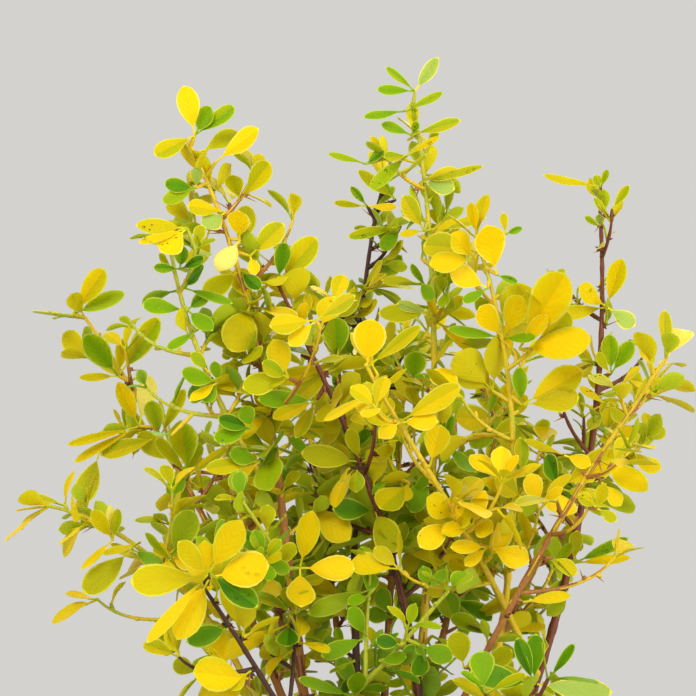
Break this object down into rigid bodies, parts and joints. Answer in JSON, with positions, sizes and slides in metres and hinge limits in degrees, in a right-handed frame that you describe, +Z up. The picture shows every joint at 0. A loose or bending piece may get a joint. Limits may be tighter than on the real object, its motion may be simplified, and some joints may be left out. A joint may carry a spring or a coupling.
{
  "type": "japanese barberry",
  "caption": "Golden-leaved Japanese barberry bush: slender arching canes with rosettes of small rounded leaves, rising from one rootstock in a plain clay pot",
  "frame": {"origin": "middle of the pot's flat underside, on the surface that it stands on", "axes": "+Z up along the pot's axis; the picture looks along +Y, with +X to its right"},
  "size_m": [0.2793, 0.2487, 0.4772],
  "materials": {
    "clay": "matt fired clay, unglazed",
    "soil": "crumbly, damp",
    "bark": "dull, lightly ridged",
    "young_twig": "smooth, slight sheen",
    "golden_leaf": "satin leaf",
    "lime_leaf": "satin leaf",
    "dew": "clear drops"
  },
  "bodies": {
    "root": {"back_1_bough": "bark", "back_1_leaves": "lime_leaf", "back_2_bough": "bark", "back_2_leaves": "golden_leaf", "back_3_bough": "bark", "back_3_leaves": "lime_leaf", "back_4_bough": "bark", "back_4_leaves": "golden_leaf", "back_5_bough": "bark", "back_5_leaves": "golden_leaf", "back_dark_bough": "bark", "back_dark_leaves": "lime_leaf", "east_gold_bough": "bark", "east_gold_leaves": "golden_leaf", "east_reach_bough": "bark", "east_reach_leaves": "golden_leaf", "east_tall_bough": "bark", "east_tall_leaves": "golden_leaf", "front_dark_bough": "bark", "front_dark_leaves": "golden_leaf", "front_east_bough": "bark", "front_east_leaves": "golden_leaf", "front_green_bough": "bark", "front_green_leaves": "lime_leaf", "front_left_bough": "bark", "front_left_leaves": "lime_leaf", "gold_twig_bough": "bark", "gold_twig_leaves": "golden_leaf", "middle_bent_bough": "bark", "middle_bent_leaves": "golden_leaf", "pot": "clay", "rootstock": "bark", "skirt_1_bough": "bark", "skirt_1_leaves": "lime_leaf", "skirt_2_bough": "bark", "skirt_2_leaves": "golden_leaf", "skirt_3_bough": "bark", "skirt_3_leaves": "golden_leaf", "skirt_4_bough": "bark", "skirt_4_leaves": "lime_leaf", "skirt_5_bough": "bark", "skirt_5_leaves": "golden_leaf", "soil": "soil", "tall_lime_bough": "bark", "tall_lime_leaves": "golden_leaf", "west_green_bough": "bark", "west_green_leaves": "lime_leaf", "west_low_bough": "bark", "west_low_leaves": "golden_leaf", "west_reach_bough": "bark", "west_reach_leaves": "golden_leaf", "west_tall_bough": "bark", "west_tall_leaves": "golden_leaf"}
  },
  "joints": []
}
